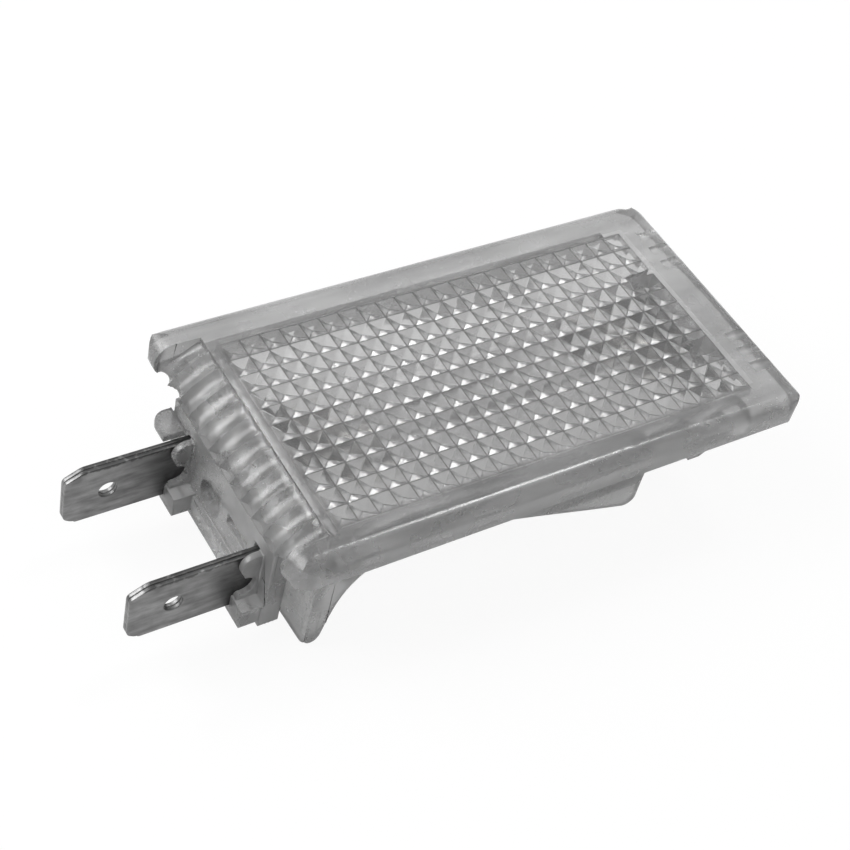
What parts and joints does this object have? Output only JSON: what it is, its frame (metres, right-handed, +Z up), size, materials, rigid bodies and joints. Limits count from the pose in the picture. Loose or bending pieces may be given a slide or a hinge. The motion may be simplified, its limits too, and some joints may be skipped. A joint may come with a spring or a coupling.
{
  "type": "car trunk light",
  "caption": "Clear snap-in luggage compartment light with a prism lens, a fluted end, flat push-on tabs and a festoon bulb between spring plates.",
  "frame": {"origin": "under the middle of the whole light, tabs included, on the level of the tips of the corner legs", "axes": "+X along the light from the tabs to the plain end, +Y across it towards the long side away from the longer contact, +Z up out of the lens face"},
  "size_m": [0.0632, 0.0282, 0.0143],
  "materials": {
    "clear_plastic": "clear, polished by the mould",
    "tinned_brass": "tin-plated brass sheet, satin",
    "bulb_glass": "clear glass",
    "bulb_cap": "nickel-plated brass, bright",
    "filament": "drawn tungsten wire",
    "lead_wire": "nickel wire",
    "solder": "solder, dull"
  },
  "bodies": {
    "root": {"lens_housing": "clear_plastic", "contact_near": "tinned_brass", "contact_far": "tinned_brass", "bulb_glass": "bulb_glass", "bulb_cap_left": "bulb_cap", "bulb_cap_right": "bulb_cap", "filament": "filament", "lead_left": "lead_wire", "lead_right": "lead_wire", "solder_tip_left": "solder", "solder_tip_right": "solder"}
  },
  "joints": []
}
